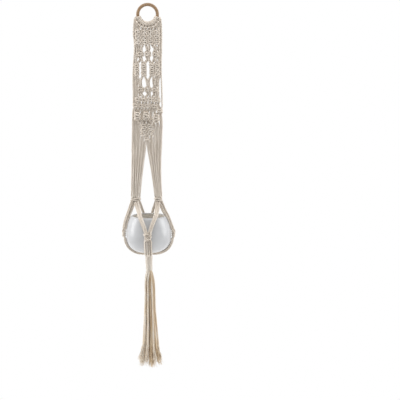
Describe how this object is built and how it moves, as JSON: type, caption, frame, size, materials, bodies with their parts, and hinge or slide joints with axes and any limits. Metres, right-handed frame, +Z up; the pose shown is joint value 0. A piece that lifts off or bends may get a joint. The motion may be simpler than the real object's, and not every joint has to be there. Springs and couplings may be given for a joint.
{
  "type": "hanging macrame planter",
  "caption": "Knotted cotton plant hanger on a wooden ring, with a lattice panel, two legs, a cradle holding a round ceramic pot, a wrapped knot and a long tassel.",
  "frame": {"origin": "the inside top of the ring, where a hook carries the planter", "axes": "+Z up, X across the panel's width, -Y towards the front (the side with the berry knots)"},
  "size_m": [0.172, 0.1647, 1.136],
  "materials": {
    "ring_wood": "smooth sanded and oiled light wood, satin",
    "cotton_cord": "natural three-ply twisted cotton cord, matt with a faint fuzz",
    "tassel_cotton": "natural twisted cotton cord, combed out to loose fibres at the ends",
    "pot_glaze": "off-white satin glaze outside, warm grey unglazed inside"
  },
  "bodies": {
    "ring": {"wood_ring": "ring_wood", "larks_head_01": "cotton_cord", "larks_head_02": "cotton_cord", "larks_head_03": "cotton_cord", "larks_head_04": "cotton_cord", "larks_head_05": "cotton_cord", "larks_head_06": "cotton_cord", "larks_head_07": "cotton_cord", "larks_head_08": "cotton_cord", "larks_head_09": "cotton_cord", "larks_head_10": "cotton_cord"},
    "panel": {"square_knots_a1": "cotton_cord", "square_knots_a2": "cotton_cord", "square_knots_a3": "cotton_cord", "square_knots_a4": "cotton_cord", "crossing_knot_b1": "cotton_cord", "crossing_knot_b2": "cotton_cord", "crossing_knot_b3": "cotton_cord", "square_knots_c1": "cotton_cord", "square_knots_c2": "cotton_cord", "square_knots_c3": "cotton_cord", "square_knots_c4": "cotton_cord", "crossing_knot_d1": "cotton_cord", "crossing_knot_d2": "cotton_cord", "crossing_knot_d3": "cotton_cord", "outer_strands_left": "cotton_cord", "outer_strands_right": "cotton_cord", "lattice_left": "cotton_cord", "lattice_centre": "cotton_cord", "lattice_right": "cotton_cord", "berry_knot_left": "cotton_cord", "berry_knot_centre": "cotton_cord", "berry_knot_right": "cotton_cord", "closing_knots_left": "cotton_cord", "closing_knots_right": "cotton_cord", "apex_knot": "cotton_cord"},
    "legs": {"leg_left": "cotton_cord", "leg_right": "cotton_cord"},
    "cradle": {"gather_knot_left": "cotton_cord", "gather_knot_right": "cotton_cord", "side_arm_left": "cotton_cord", "side_arm_right": "cotton_cord", "front_arm_left": "cotton_cord", "front_arm_right": "cotton_cord", "back_arm_left": "cotton_cord", "back_arm_right": "cotton_cord", "side_knot_left": "cotton_cord", "side_knot_right": "cotton_cord", "front_knot": "cotton_cord", "back_knot": "cotton_cord", "side_tail_left": "cotton_cord", "side_tail_right": "cotton_cord", "front_tail": "cotton_cord", "back_tail": "cotton_cord", "bottom_gather": "cotton_cord"},
    "pot": {"pot": "pot_glaze"},
    "wrap": {"gathering_wrap": "cotton_cord"},
    "tassel": {"tassel": "tassel_cotton"}
  },
  "joints": [
    {"name": "panel_sway", "type": "hinge", "parent": "ring", "child": "panel", "pos_m": [0, 0, -0.0675], "axis": [1, 0, 0], "range_deg": [-25, 25]},
    {"name": "legs_sway", "type": "hinge", "parent": "panel", "child": "legs", "pos_m": [0, 0, -0.442], "axis": [1, 0, 0], "range_deg": [-35, 35]},
    {"name": "cradle_turn", "type": "hinge", "parent": "legs", "child": "cradle", "pos_m": [0, 0, -0.5895], "axis": [0, 0, 1], "range_deg": [-20, 20]},
    {"name": "pot_turn", "type": "hinge", "parent": "cradle", "child": "pot", "pos_m": [0, 0, -0.706], "axis": [0, 0, 1], "continuous": true},
    {"name": "wrap_tilt", "type": "hinge", "parent": "cradle", "child": "wrap", "pos_m": [0, 0, -0.769], "axis": [1, 0, 0], "range_deg": [-10, 10]},
    {"name": "tassel_sway", "type": "hinge", "parent": "wrap", "child": "tassel", "pos_m": [0, 0, -0.8205], "axis": [0, 1, 0], "range_deg": [-30, 30]}
  ]
}
